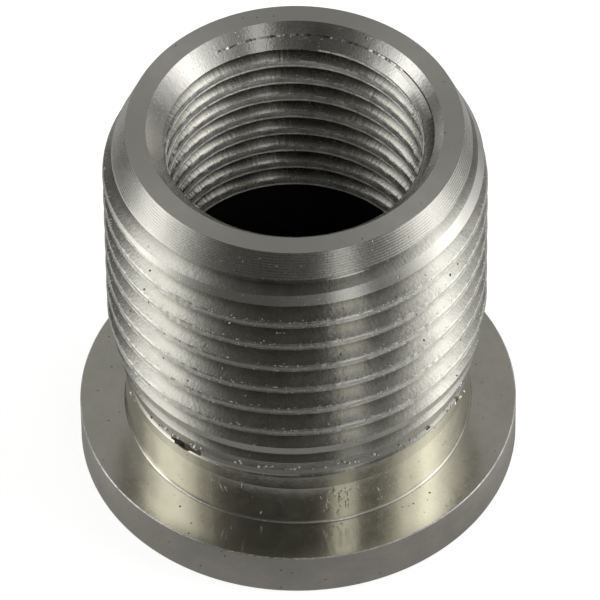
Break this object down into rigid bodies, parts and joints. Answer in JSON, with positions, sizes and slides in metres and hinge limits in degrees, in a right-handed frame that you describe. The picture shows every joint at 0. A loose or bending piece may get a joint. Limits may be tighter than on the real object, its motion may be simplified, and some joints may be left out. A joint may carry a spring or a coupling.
{
  "type": "threaded insert",
  "caption": "Turned metal insert with a plain round flange, a relieved neck, a chamfered outer thread and a bore that is threaded in its upper half.",
  "frame": {"origin": "centre of the flange's flat underside, on the axis", "axes": "+Z along the axis from the flange towards the chamfered tip; -Y faces the viewer of the picture"},
  "size_m": [0.0254, 0.0254, 0.0254],
  "materials": {
    "steel": "bare turned metal, bright flanks and bore, matt end face and flange rim"
  },
  "bodies": {
    "root": {"threaded_insert": "steel"}
  },
  "joints": []
}
